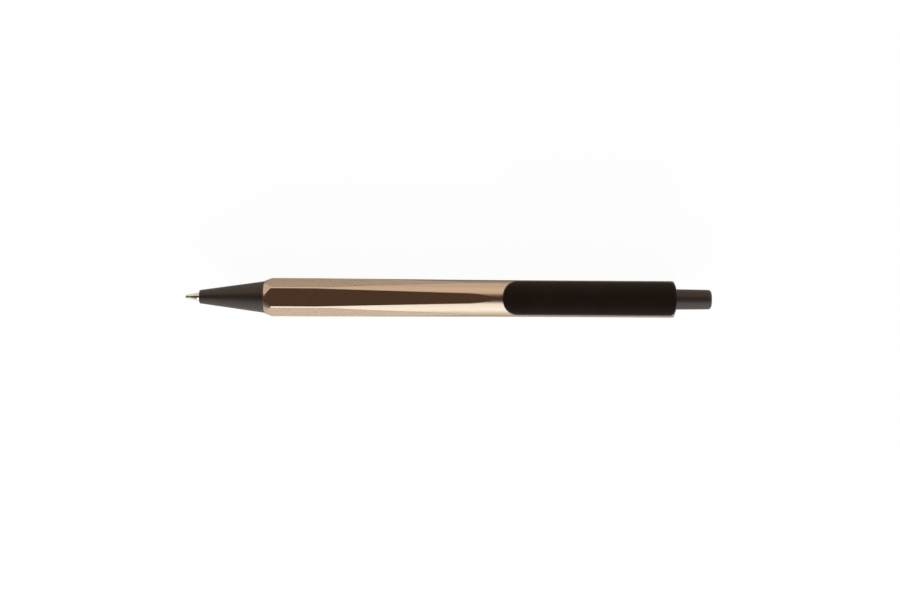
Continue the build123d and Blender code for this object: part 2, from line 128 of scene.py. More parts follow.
class Graph:
    """Node tree of one material or world."""

    def __init__(self, tree: bpy.types.NodeTree) -> None:
        """Empty a tree to build in.

        Args:
            tree: Node tree to use.
        """
        self.tree = tree
        tree.nodes.clear()

    def node(self, kind: str, settings: Options = None, sockets: Options = None) -> bpy.types.Node:
        """Add a node, with its settings first and then its sockets.

        Args:
            kind: Blender's node type.
            settings: Properties of the node.
            sockets: Values or links by input identifier or name.

        Returns:
            The new node.
        """
        made = self.tree.nodes.new(kind)
        for name, setting in (settings or {}).items():
            setattr(made, name, setting)
        for name, value in (sockets or {}).items():
            socket = next((s for s in made.inputs if s.identifier == name), None) or made.inputs[name]
            if isinstance(value, Value):
                self.tree.links.new(value.socket, socket)
            else:
                socket.default_value = value
        return made

    def value(self, kind: str, output: str, settings: Options = None, sockets: Options = None) -> Value:
        """Add a node and return one of its outputs.

        Args:
            kind: Blender's node type.
            output: Identifier or name of the output.
            settings: Properties of the node.
            sockets: Values or links by input identifier or name.

        Returns:
            The output.
        """
        made = self.node(kind, settings, sockets)
        found = next((s for s in made.outputs if s.identifier == output), None) or made.outputs[output]
        return Value(self, found)

    def maths(self, operation: str, first: Number, second: Number) -> Value:
        """One Math node on two values.

        Args:
            operation: Operation of the node.
            first: First value.
            second: Second value.

        Returns:
            The result.
        """
        sockets = {"Value": first, "Value_001": second}
        return self.value("ShaderNodeMath", "Value", {"operation": operation}, sockets)

    def places(self) -> Value:
        """Coordinates of the surface in its object, in metres."""
        return self.value("ShaderNodeTexCoord", "Object")

    def attribute(self, name: str) -> Value:
        """A number that the mesh carries on its points."""
        return self.value("ShaderNodeAttribute", "Fac", {"attribute_name": name})

    def noise(self, places: Value, scale: float, detail: float = 2.0) -> Value:
        """Noise from 0 to 1.

        Args:
            places: Coordinates.
            scale: Cells in a metre.
            detail: Octaves of finer noise.

        Returns:
            The noise.
        """
        sockets = {"Vector": places, "Scale": scale, "Detail": detail}
        return self.value("ShaderNodeTexNoise", "Fac", {"noise_dimensions": "3D"}, sockets)

    def between(self, value: Value, low: float, high: float) -> Value:
        """Smooth step from 0 at low to 1 at high.

        Args:
            value: Value to step on.
            low: Where the result is 0.
            high: Where the result is 1.

        Returns:
            The step.
        """
        sockets = {"Value": value, "From Min": low, "From Max": high}
        return self.value("ShaderNodeMapRange", "Result", {"interpolation_type": "SMOOTHSTEP"}, sockets)

    def mixed(self, share: Number, first: Any, second: Any) -> Value:
        """Mix of two colours.

        Args:
            share: Share of the second colour.
            first: First colour.
            second: Second colour.

        Returns:
            The mixed colour.
        """
        sockets = {
            "Factor_Float": share,
            "A_Color": first if isinstance(first, Value) else (*first, 1.0),
            "B_Color": second if isinstance(second, Value) else (*second, 1.0),
        }
        return self.value("ShaderNodeMix", "Result_Color", {"data_type": "RGBA"}, sockets)

    def bumped(self, height: Value, distance: float) -> Value:
        """Normal of a bump at full strength.

        Args:
            height: Height from 0 to 1.
            distance: Height of 1, in metres.

        Returns:
            The normal.
        """
        sockets = {"Height": height, "Distance": distance, "Strength": 1.0}
        return self.value("ShaderNodeBump", "Normal", None, sockets)

    def specks(self, places: Value, scale: float, size: float) -> Value:
        """Sparse round specks, 1 inside one and 0 between them.

        Args:
            places: Coordinates.
            scale: Cells in a metre.
            size: Radius of a speck as a share of a cell.

        Returns:
            The specks.
        """
        sockets = {"Vector": places, "Scale": scale, "Randomness": 1.0}
        distance = self.value("ShaderNodeTexVoronoi", "Distance", {"feature": "F1"}, sockets)
        return 1 - self.between(distance, 0.5 * size, size)

    def surface(self, sockets: dict[str, Any]) -> None:
        """Close a material with a Principled shader.

        Args:
            sockets: Values or links of the shader by name.
        """
        shader = self.value("ShaderNodeBsdfPrincipled", "BSDF", None, sockets)
        self.node("ShaderNodeOutputMaterial", None, {"Surface": shader})


def tinted(colour: Colour, share: float) -> Colour:
    """A colour times a share.

    Args:
        colour: Linear colour.
        share: Share of each channel.

    Returns:
        The scaled colour.
    """
    return (colour[0] * share, colour[1] * share, colour[2] * share)


def swing(noise: Value, width: float) -> Value:
    """Noise as a swing about 0.

    Args:
        noise: Noise from 0 to 1.
        width: Whole width of the swing.

    Returns:
        The swing.
    """
    return (noise - 0.5) * width


@dataclass(frozen=True)
class Finish:
    """Base of the finishes: a named material with one colour and roughness."""

    name: str
    colour: Colour
    roughness: float

    def material(self) -> bpy.types.Material:
        """The finish as a material of its own name, made once.

        Returns:
            The material.
        """
        label = f"{self.name}_finish"
        made = bpy.data.materials.get(label)
        if made is None:
            made = bpy.data.materials.new(label)
            made.use_nodes = True
            self.draw(Graph(made.node_tree))
        return made

    def clouded(self, graph: Graph, cloud: Value, shares: Span) -> Value:
        """The finish's colour, darker and lighter in clouds.

        Args:
            graph: Graph to draw in.
            cloud: Noise from 0 to 1.
            shares: Shares of the colour where the noise is 0 and 1.

        Returns:
            The clouded colour.
        """
        return graph.mixed(cloud, *(tinted(self.colour, share) for share in shares))

    def draw(self, graph: Graph) -> None:
        """Draw the finish in a graph."""
        raise NotImplementedError


@dataclass(frozen=True)
class AnodisedFinish(Finish):
    """Blasted and anodised aluminium, with engraving and worn edges from the mesh, a painted highlight on
    the engraved lands, painted shade in the grooves and a painted shade line inside the engraved flats'
    edges.
    """

    grain: float = 5200.0
    grain_height: float = 0.0000018
    grain_roughness: float = 0.06
    cloud: float = 70.0
    cloud_shares: Span = (0.96, 1.04)
    # Painted highlight on the engraved lands and painted shade in the grooves, as shares of the colour.
    painted_highlight_share: float = 1.2
    painted_groove_shade_share: float = 0.86
    groove_roughness: float = 0.08
    # Painted shade: a dark line just inside the edges of the engraved flats.
    shade_line_share: float = 0.55
    shade_line_strength: float = 0.6
    wear_share: float = 1.18
    wear_strength: float = 0.3
    rim: Colour = (0.45, 0.45, 0.45)

    def draw(self, graph: Graph) -> None:
        """Draw the metal with its grain, clouding, engraving, wear and painted light and shade.

        Args:
            graph: Graph to draw in.
        """
        places = graph.places()
        grain = graph.noise(places, self.grain, detail=3.0)
        cloud = graph.noise(places, self.cloud)
        engraving = graph.attribute("engraving")
        highlit_land = graph.attribute("land_painted_highlight")
        wear = graph.attribute("edge_wear")
        shade = graph.attribute("edge_shade")
        clouded = self.clouded(graph, cloud, self.cloud_shares)
        # Painted highlight on the engraved lands, then painted shade in the grooves; the grooves' relief
        # itself is real and lies in the mesh.
        land_highlighted = graph.mixed(highlit_land, clouded, tinted(self.colour, self.painted_highlight_share))
        engraved = graph.mixed(engraving, land_highlighted, tinted(self.colour, self.painted_groove_shade_share))
        # Painted shade: a dark line just inside the edges of the engraved flats.
        shade_lined = graph.mixed(shade * self.shade_line_strength, engraved, tinted(self.colour, self.shade_line_share))
        worn = graph.mixed(wear * self.wear_strength * cloud, shade_lined, tinted(self.colour, self.wear_share))
        roughness = self.roughness + swing(grain, self.grain_roughness)
        graph.surface(
            {
                "Base Color": worn,
                "Metallic": 1.0,
                "Roughness": roughness + engraving * self.groove_roughness,
                "Specular Tint": (*self.rim, 1.0),
                "Normal": graph.bumped(grain, self.grain_height),
            }
        )


@dataclass(frozen=True)
class MouldedFinish(Finish):
    """Matte black surface with a fine moulded grain and a little dust."""

    shine: float = 0.5
    tint: Colour = (1.0, 0.8, 0.66)
    grain: float = 4200.0
    grain_height: float = 0.000006
    cloud: float = 130.0
    cloud_shares: Span = (0.85, 1.15)
    cloud_roughness: float = 0.1
    dust: float = 0.0
    dust_cells: float = 420.0
    dust_size: float = 0.055
    dust_clouds: Span = (0.5, 0.62)
    dust_colour: Colour = (0.35, 0.32, 0.29)
    dust_roughness: float = 0.3

    def draw(self, graph: Graph) -> None:
        """Draw the surface with its grain, clouding and dust.

        Args:
            graph: Graph to draw in.
        """
        places = graph.places()
        grain = graph.noise(places, self.grain)
        cloud = graph.noise(places, self.cloud, detail=3.0)
        clouded = self.clouded(graph, cloud, self.cloud_shares)
        specks = graph.specks(places, self.dust_cells, self.dust_size)
        dust = specks * graph.between(cloud, *self.dust_clouds) * self.dust
        roughness = self.roughness + swing(cloud, self.cloud_roughness)
        graph.surface(
            {
                "Base Color": graph.mixed(dust, clouded, self.dust_colour),
                "Roughness": roughness + dust * self.dust_roughness,
                "Specular IOR Level": self.shine,
                "Specular Tint": (*self.tint, 1.0),
                "Normal": graph.bumped(grain, self.grain_height),
            }
        )


@dataclass(frozen=True)
class TurnedFinish(Finish):
    """Turned metal with fine rings round the pen's axis and a little tarnish."""

    rings: float = 3500.0
    ring_height: float = 0.0000015
    ring_roughness: float = 0.1
    cloud: float = 900.0
    tarnished_clouds: Span = (0.45, 0.8)
    tarnish_share: float = 0.8

    def draw(self, graph: Graph) -> None:
        """Draw the metal with its rings and tarnish.

        Args:
            graph: Graph to draw in.
        """
        places = graph.places()
        along = graph.value("ShaderNodeSeparateXYZ", "X", None, {"Vector": places})
        stretched = graph.value("ShaderNodeCombineXYZ", "Vector", None, {"X": along})
        rings = graph.noise(stretched, self.rings)
        cloud = graph.noise(places, self.cloud, detail=3.0)
        tarnish = graph.between(cloud, *self.tarnished_clouds)
        graph.surface(
            {
                "Base Color": graph.mixed(tarnish, self.colour, tinted(self.colour, self.tarnish_share)),
                "Metallic": 1.0,
                "Roughness": self.roughness + swing(rings, self.ring_roughness),
                "Normal": graph.bumped(rings, self.ring_height),
            }
        )


@dataclass(frozen=True)
class CarbideFinish(Finish):
    """Hard metal ball with a film of ink in patches."""

    grain: float = 22000.0
    grain_height: float = 0.0000004
    ink: Colour = (0.01, 0.012, 0.05)
    ink_patches: float = 2600.0
    inked: Span = (0.42, 0.6)
    ink_cover: float = 0.7
    ink_roughness: float = 0.1

    def draw(self, graph: Graph) -> None:
        """Draw the ball with its ink film.

        Args:
            graph: Graph to draw in.
        """
        places = graph.places()
        patches = graph.between(graph.noise(places, self.ink_patches, detail=3.0), *self.inked)
        grain = graph.noise(places, self.grain)
        graph.surface(
            {
                "Base Color": graph.mixed(patches, self.colour, self.ink),
                "Metallic": 1 - patches * self.ink_cover,
                "Roughness": self.roughness + patches * self.ink_roughness,
                "Normal": graph.bumped(grain, self.grain_height),
            }
        )


@dataclass(frozen=True)
class PlasticFinish(Finish):
    """Smooth plastic or ink with slight clouding and flow marks, clear where light passes."""

    passing: float = 0.0
    refraction: float = 1.5
    cloud: float = 300.0
    cloud_shares: Span = (0.93, 1.0)
    cloud_roughness: float = 0.12
    marks: float = 1500.0
    mark_height: float = 0.000002

    def draw(self, graph: Graph) -> None:
        """Draw the surface with its clouding and flow marks.

        Args:
            graph: Graph to draw in.
        """
        places = graph.places()
        cloud = graph.noise(places, self.cloud, detail=3.0)
        marks = graph.noise(places, self.marks)
        graph.surface(
            {
                "Base Color": self.clouded(graph, cloud, self.cloud_shares),
                "Roughness": self.roughness + swing(cloud, self.cloud_roughness),
                "Transmission Weight": self.passing,
                "IOR": self.refraction,
                "Normal": graph.bumped(marks, self.mark_height),
            }
        )


class Look(Enum):
    """Finishes of the pen."""

    ALUMINIUM = AnodisedFinish("champagne_aluminium", (0.55, 0.415, 0.3), 0.25)
    NOSE = MouldedFinish("black_nose", (0.0048, 0.003, 0.0026), 0.46, shine=0.71)
    BUTTON = MouldedFinish("black_button", (0.0048, 0.003, 0.0026), 0.46, shine=0.64)
    CLIP = MouldedFinish("black_clip", (0.004, 0.0022, 0.0018), 0.3, shine=0.5, dust=0.6)
    CAP = MouldedFinish("black_cap", (0.004, 0.0022, 0.0018), 0.3, shine=0.5)
    NICKEL = TurnedFinish("nickel_silver", (0.65, 0.61, 0.515), 0.1)
    BRASS = TurnedFinish("brass_bush", (0.72, 0.5, 0.2), 0.24)
    STEEL = TurnedFinish("spring_steel", (0.6, 0.6, 0.6), 0.2)
    CARBIDE = CarbideFinish("ball_carbide", (0.16, 0.15, 0.13), 0.12)
    TUBE = PlasticFinish(
        "tube_plastic",
        (0.86, 0.88, 0.87),
        0.22,
        passing=0.6,
        refraction=1.49,
        cloud=240.0,
        cloud_shares=(0.96, 1.0),
        cloud_roughness=0.1,
        marks=3000.0,
    )
    INK = PlasticFinish("ink", (0.01, 0.014, 0.07), 0.2)
    ACETAL = PlasticFinish("white_acetal", (0.8, 0.8, 0.77), 0.35)


@dataclass
class Skin:
    """Points in millimetres and faces of one piece."""

    points: np.ndarray
    faces: Faces
    numbers: dict[str, np.ndarray] | None = None

    def place(self, name: str, look: Look, body: Body | None, *nodes: str) -> bpy.types.Object:
        """Make the piece, dress it and set it on its body.

        Args:
            name: Name of the piece.
            look: Finish, which is also its material slot.
            body: Body that it rides on, or None to leave it on no body.
            nodes: CAD nodes that it replaces.

        Returns:
            The new object.
        """
        mesh = bpy.data.meshes.new(name)
        mesh.from_pydata(self.points * MM, [], self.faces)
        for label, values in (self.numbers or {}).items():
            mesh.attributes.new(label, "FLOAT", "POINT").data.foreach_set("value", values.astype(np.float32))
        work = bmesh.new()
        work.from_mesh(mesh)
        bmesh.ops.recalc_face_normals(work, faces=work.faces)
        work.to_mesh(mesh)
        work.free()
        mesh.shade_smooth()
        mesh.set_sharp_from_angle(angle=SHARP_ANGLE)
        mesh.materials.append(look.value.material())
        piece = bpy.data.objects.new(name, mesh)
        bpy.context.scene.collection.objects.link(piece)
        if body is not None:
            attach(piece, body.value)
        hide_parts(*nodes)
        log.info("%s: %d faces, stands for %s", name, len(mesh.polygons), ", ".join(nodes))
        return piece


def dress(node: str, look: Look) -> None:
    """Give a CAD node that stays its finish.

    Args:
        node: Name of the node.
        look: Finish.
    """
    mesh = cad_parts[node].data
    mesh.materials.clear()
    mesh.materials.append(look.value.material())
    log.info("%s: CAD node in %s", node, look.value.name)


def arc(centre: Point, radius: float, start: float, end: float, steps: int) -> Profile:
    """Points on an arc of a profile.

    Args:
        centre: Station and radius of the arc's centre.
        radius: Radius of the arc.
        start: First angle in degrees, from the pen's direction.
        end: Last angle in degrees.
        steps: Number of steps.

    Returns:
        The points, ends included.
    """
    turns = [math.radians(start + (end - start) * step / steps) for step in range(steps + 1)]
    return [(centre[0] + radius * math.cos(t), centre[1] + radius * math.sin(t)) for t in turns]


def run(start: Point, end: Point, steps: int) -> Profile:
    """Points on a straight run of a profile.

    Args:
        start: First point.
        end: Last point.
        steps: Number of steps.

    Returns:
        The points, ends included.
    """
    shares = [step / steps for step in range(steps + 1)]
    return [(start[0] + (end[0] - start[0]) * s, start[1] + (end[1] - start[1]) * s) for s in shares]


def smooth(values: np.ndarray, low: float, high: float) -> np.ndarray:
    """Smooth step from 0 at low to 1 at high.

    Args:
        values: Values to step on.
        low: Where the result is 0.
        high: Where the result is 1.

    Returns:
        The steps.
    """
    share = np.clip((values - low) / (high - low), 0.0, 1.0)
    return share * share * (3 - 2 * share)


@dataclass
class ScrewThread:
    """A V thread round the pen's axis, cut in or out of a plain cylinder."""

    start_x: float
    end_x: float
    radius: float
    depth: float
    pitch: float = 0.6
    offset: float = 0.0
    fade: float = 0.6
    flank: Span = (0.1, 0.9)
    same_radius: float = 0.000001

    def relief(self, stations: np.ndarray, radii: np.ndarray, turns: np.ndarray) -> np.ndarray:
        """How far the thread moves the cylinder's points outwards; other points stay.

        Args:
            stations: Places along the pen.
            radii: Distances from the axis.
            turns: Angles in radians.

        Returns:
            The radial moves.
        """
        phase = (stations - self.start_x) / self.pitch - turns / FULL_TURN + self.offset
        wave = np.abs(2 * (phase - np.floor(phase)) - 1)
        starts = smooth(stations, self.start_x, self.start_x + self.fade)
        ends = 1 - smooth(stations, self.end_x - self.fade, self.end_x)
        on_cylinder = np.abs(radii - self.radius) < self.same_radius
        return self.depth * smooth(wave, *self.flank) * starts * ends * on_cylinder


@dataclass
class Lathe:
    """A closed profile turned about the pen's axis, with a thread where it has one."""

    profile: Profile
    segments: int = 96
    thread: ScrewThread | None = None

    def skin(self) -> Skin:
        """Turn the profile.

        Returns:
            The turned piece.
        """
        rows = np.array(self.profile)
        angles = np.arange(self.segments) * FULL_TURN / self.segments
        stations = np.repeat(rows[:, :1], self.segments, axis=1)
        turns = np.repeat(angles[None, :], len(rows), axis=0)
        radii = np.repeat(rows[:, 1:], self.segments, axis=1)
        if self.thread is not None:
            radii = radii + self.thread.relief(stations, radii, turns)
        return Skin(around(stations, radii, turns), closed_grid(len(rows), self.segments))


def around(stations: np.ndarray, radii: np.ndarray, turns: np.ndarray) -> np.ndarray:
    """Points round the pen's axis.

    Args:
        stations: Places along the pen.
        radii: Distances from the axis.
        turns: Angles from the clip's side, in radians.

    Returns:
        One point a row.
    """
    across = radii * np.sin(turns)
    height = AXIS_HEIGHT + radii * np.cos(turns)
    return np.stack([stations, across, height], axis=-1).reshape(-1, 3)


def closed_grid(rows: int, columns: int) -> Faces:
    """Faces of a grid that is closed both ways.

    Args:
        rows: Number of rows.
        columns: Number of columns.

    Returns:
        The faces.
    """
    return [
        (
            row * columns + column,
            row * columns + (column + 1) % columns,
            (row + 1) % rows * columns + (column + 1) % columns,
            (row + 1) % rows * columns + column,
        )
        for row in range(rows)
        for column in range(columns)
    ]


@dataclass
class BarrelTube:
    """Turned tube with six milled flats, diamonds engraved on four of them and a notch for the clip."""

    front_x: float = -49.1
    chamfer_end_x: float = -47.0
    level_end_x: float = -35.0
    taper_end_x: float = 12.0
    rear_x: float = 60.0
    front_radius: float = 4.18
    grip_radius: float = 5.08
    rear_radius: float = 4.87
    clip_flat_half_width: float = 2.42
    clip_flat_end_x: float = 51.5
    side_flat_half_width: float = 2.29
    side_flat_end_x: float = 9.0
    side_level_end_x: float = -31.5
    bore_radius: float = 3.6
    bore_lead: float = 1.0
    rim_fillet: float = 0.6
    front_edge: float = 0.06
    chamfer_shares: tuple[Point, ...] = ((0.0, 0.0), (0.43, 0.46), (1.0, 1.0))
    crease: float = 0.03
    runout_ease: float = 1.5
    ease_samples: int = 21
    clip_flat_fade_x: Span = (5.0, 17.0)
    shift_x: Span = (34.0, 54.0)
    notch_front_x: float = 55.8
    notch_half_width: float = 2.0
    flat_count: int = 6
    flats_turn: float = math.radians(-1.5)
    plain_steps: int = 8
    engraved_steps: int = 30
    strip_steps: int = 13
    notch_steps: int = 12
    row_step: float = 0.1625
    chamfer_rows: int = 22
    rear_rows: int = 24
    rear_gap: float = 1.0
    fillet_steps: int = 8
    bore_steps: int = 24
    least_reach: float = math.radians(6)
    edge_share: float = 0.025
    diamond_length: float = 1.3
    diamond_width: float = 1.08
    engraving_depth: float = 0.07
    engraving_lead: float = 0.5
    engraving_margin: Span = (0.036, 0.18)
    groove_span: Span = (0.35, 1.0)
    wear_width: float = 0.12
    least_worn_half_width: float = 0.3
    # Inset, width and least half width of the painted shade line along the engraved flats' edges.
    shade_line_inset: float = 0.05
    shade_line_width: float = 0.1
    least_shade_lined_half_width: float = 0.15

    def engraved(self, index: int) -> bool:
        """Whether a flat carries the diamonds: the clip's flat and the resting flat don't."""
        return index % (self.flat_count // 2) != 0

    def round_radius(self, stations: np.ndarray) -> np.ndarray:
        """Radius of the turned tube before the flats are milled.

        Args:
            stations: Places along the pen.

        Returns:
            The radii.
        """
        share = np.clip((stations - self.front_x) / (self.chamfer_end_x - self.front_x), 0.0, 1.0)
        chamfer = np.interp(share, *zip(*self.chamfer_shares))
        front = self.front_radius + (self.grip_radius - self.front_radius) * chamfer
        taper = np.clip((stations - self.level_end_x) / (self.taper_end_x - self.level_end_x), 0.0, 1.0)
        return front - (self.grip_radius - self.rear_radius) * taper

    def flat_height(self, stations: np.ndarray, engraved: bool) -> np.ndarray:
        """Distance of a flat from the axis: level in front, then so that its edges run together straight.

        Args:
            stations: Places along the pen.
            engraved: Whether it is a flat with diamonds, which ends sooner.

        Returns:
            The distances.
        """
        half_width = self.side_flat_half_width if engraved else self.clip_flat_half_width
        start_x = self.side_level_end_x if engraved else self.level_end_x
        end_x = self.side_flat_end_x if engraved else self.clip_flat_end_x
        shifts = np.linspace(-self.runout_ease, self.runout_ease, self.ease_samples)
        past = np.maximum(stations[..., None] - start_x + shifts, 0.0).mean(axis=-1)
        narrowed = half_width * np.maximum(1 - past / (end_x - start_x), 0.0)
        if not engraved:
            narrowed = narrowed * (1 - smooth(stations, *self.clip_flat_fade_x))
        full = np.maximum(self.round_radius(stations), self.rear_radius)
        level = math.sqrt(self.grip_radius**2 - half_width**2)
        return np.where(stations < self.level_end_x, level, np.sqrt(full**2 - narrowed**2))

    def flat_turns(self, stations: np.ndarray) -> np.ndarray:
        """Column angles that keep each flat's edges on their own columns.

        Args:
            stations: Station of each row.

        Returns:
            Angles by row and column.
        """
        sector = FULL_TURN / self.flat_count
        between = np.linspace(0, 1, self.strip_steps + 1)[None, 1:-1]
        reaches = [self.reach(stations, self.engraved(index)) for index in range(self.flat_count)]
        columns = []
        for index, reach in enumerate(reaches):
            steps = self.engraved_steps if self.engraved(index) else self.plain_steps
            inner = np.linspace(-1 + self.edge_share, 1 - self.edge_share, steps - 1)
            across = np.concatenate([[-1.0], inner, [1.0]])[None, :]
            strip = sector - reach - reaches[(index + 1) % self.flat_count]
            columns.append(index * sector + np.arctan(across * np.tan(reach)))
            columns.append(index * sector + reach + between * strip)
        return np.concatenate(columns, axis=1)

    def reach(self, stations: np.ndarray, engraved: bool) -> np.ndarray:
        """Half angle of a flat, as one column.

        Args:
            stations: Station of each row.
            engraved: Whether it is a flat with diamonds.

        Returns:
            The angles, not less than the least that keeps the columns apart.
        """
        cosine = self.flat_height(stations, engraved) / self.round_radius(stations)
        return np.arccos(np.clip(cosine, -1, math.cos(self.least_reach)))[:, None]

    def notch_turns(self, radii: np.ndarray, count: int) -> np.ndarray:
        """Column angles that keep the notch's walls on their own columns.

        Args:
            radii: Radius of each row.
            count: Number of columns.

        Returns:
            Angles by row and column.
        """
        half = np.arcsin(self.notch_half_width / radii)[:, None]
        steps = (np.arange(count) - self.plain_steps // 2)[None, :]
        inside = steps / self.notch_steps * half
        outside_share = (steps - self.notch_steps) / (count - 2 * self.notch_steps)
        outside = half + outside_share * (FULL_TURN - 2 * half)
        last = FULL_TURN - (count - steps) / self.notch_steps * half
        turns = np.where(steps <= self.notch_steps, inside, outside)
        return np.where(steps >= count - self.notch_steps, last, turns)

    def outer_stations(self) -> np.ndarray:
        """Stations of the outer rows.

        Returns:
            Stations from the chamfer to where the rear rim's fillet starts.
        """
        chamfer = np.linspace(
            self.front_x + self.front_edge, self.chamfer_end_x - self.crease, self.chamfer_rows
        )
        crease = [self.chamfer_end_x, self.chamfer_end_x + self.crease]
        flat_rows = round((self.taper_end_x - self.chamfer_end_x) / self.row_step)
        flats = self.chamfer_end_x + self.row_step * np.arange(1, flat_rows)
        rear = np.linspace(flats[-1] + self.rear_gap, self.notch_front_x, self.rear_rows)
        return np.concatenate([chamfer, crease, flats, rear, [self.rear_x - self.rim_fillet]])

    def build(self) -> None:
        """Build the tube and set it in place."""
        outer = self.outer_stations()
        edge = self.front_edge
        front = [
            (self.front_x + edge, self.bore_radius),
            (self.front_x, self.bore_radius + edge),
            (self.front_x, self.front_radius - edge),
        ]
        rim_centre = (self.rear_x - self.rim_fillet, self.rear_radius - self.rim_fillet)
        fillet = arc(rim_centre, self.rim_fillet, 90, 0, self.fillet_steps)[1:]
        bore_front = (self.front_x + self.bore_lead, self.bore_radius)
        bore = run((self.notch_front_x, self.bore_radius), bore_front, self.bore_steps)
        behind = fillet + [(self.rear_x, self.bore_radius)] + bore
        stations = np.concatenate([[x for x, _ in front], outer, [x for x, _ in behind]])
        caps = np.concatenate([[r for _, r in front], self.round_radius(outer), [r for _, r in behind]])
        skin_rows = slice(len(front), len(front) + len(outer))

        turns = self.flat_turns(stations)
        columns = turns.shape[1]
        shift = smooth(stations, *self.shift_x)[:, None]
        turns = turns * (1 - shift) + self.notch_turns(caps, columns) * shift

        radii = np.repeat(caps[:, None], columns, axis=1)
        labels = ("engraving", "land_painted_highlight", "edge_wear", "edge_shade")
        numbers = {label: np.zeros_like(radii) for label in labels}
        self.mill(stations, turns, radii, numbers, skin_rows)

        notch_first = len(front) + int(np.argmin(np.abs(outer - self.notch_front_x)))
        notch_last = len(stations) - len(bore)
        faces = self.notched(closed_grid(len(stations), columns), columns, notch_first, notch_last)
        turned = turns + self.flats_turn * (1 - shift)
        points = around(np.repeat(stations[:, None], columns, axis=1), radii, turned)
        flat_numbers = {label: values.ravel() for label, values in numbers.items()}
        Skin(points, faces, flat_numbers).place("barrel_tube", Look.ALUMINIUM, Body.BARREL, "barrel")

    def mill(
        self,
        stations: np.ndarray,
        turns: np.ndarray,
        radii: np.ndarray,
        numbers: dict[str, np.ndarray],
        rows: slice,
    ) -> None:
        """Mill the flats and engrave the diamonds into the outer rows.

        Args:
            stations: Station of each row.
            turns: Angles by row and column.
            radii: Radii by row and column, changed in place.
            numbers: Numbers for the finish by row and column, changed in place.
            rows: The outer rows.
        """
        sector = FULL_TURN / self.flat_count
        index = np.round(turns[rows] / sector)
        lean = turns[rows] - index * sector
        carries = np.mod(index, self.flat_count // 2) != 0
        side_height = self.flat_height(stations[rows], True)[:, None]
        height = np.where(carries, side_height, self.flat_height(stations[rows], False)[:, None])
        full = self.round_radius(stations[rows])[:, None]
        half_width = np.sqrt(np.maximum(full**2 - height**2, 0.0))
        across = height * np.tan(lean)
        inside = half_width - np.abs(across)
        radii[rows] = np.minimum(full, height / np.cos(lean))

        along = np.repeat(stations[rows][:, None], turns.shape[1], axis=1)
        first = along / self.diamond_length + across / self.diamond_width
        second = along / self.diamond_length - across / self.diamond_width
        grooves = [np.abs(2 * (phase - np.floor(phase)) - 1) for phase in (first, second)]
        groove = smooth(np.maximum(*grooves), *self.groove_span)
        start = smooth(along, self.chamfer_end_x, self.chamfer_end_x + self.engraving_lead)
        mask = carries * start * smooth(inside, *self.engraving_margin)
        wear = np.exp(-((inside / self.wear_width) ** 2))
        shade_line_mask = np.exp(-(((inside - self.shade_line_inset) / self.shade_line_width) ** 2))
        # The groove and land masks follow the real engraving; in the finish they carry painted shade in the
        # grooves and a painted highlight on the lands.
        numbers["engraving"][rows] = groove * mask
        numbers["land_painted_highlight"][rows] = (1 - groove) * mask
        numbers["edge_wear"][rows] = wear * (half_width > self.least_worn_half_width)
        # edge_shade is a painted shade line just inside the engraved flats' edges.
        numbers["edge_shade"][rows] = carries * start * shade_line_mask * (half_width > self.least_shade_lined_half_width)
        radii[rows] -= self.engraving_depth * groove * mask

    def notched(self, faces: Faces, columns: int, first: int, last: int) -> Faces:
        """Open the notch for the clip's foot and give it walls.

        Args:
            faces: Faces of the closed tube.
            columns: Number of columns.
            first: Outer row at the notch's front.
            last: Row of the bore at the notch's front.

        Returns:
            The faces with the notch.
        """
        middle = self.plain_steps // 2
        cut = [(middle + step) % columns for step in range(-self.notch_steps, self.notch_steps)]
        gone = {row * columns + column for row in range(first, last) for column in cut}
        kept = [face for face in faces if face[0] not in gone]
        left = (middle - self.notch_steps) % columns
        right = (middle + self.notch_steps) % columns
        for column in (left, right):
            kept.append(tuple(row * columns + column for row in range(first, last + 1)))
        for column in cut:
            following = (column + 1) % columns
            kept.append(
                (
                    first * columns + column,
                    first * columns + following,
                    last * columns + following,
                    last * columns + column,
                )
            )
        return kept


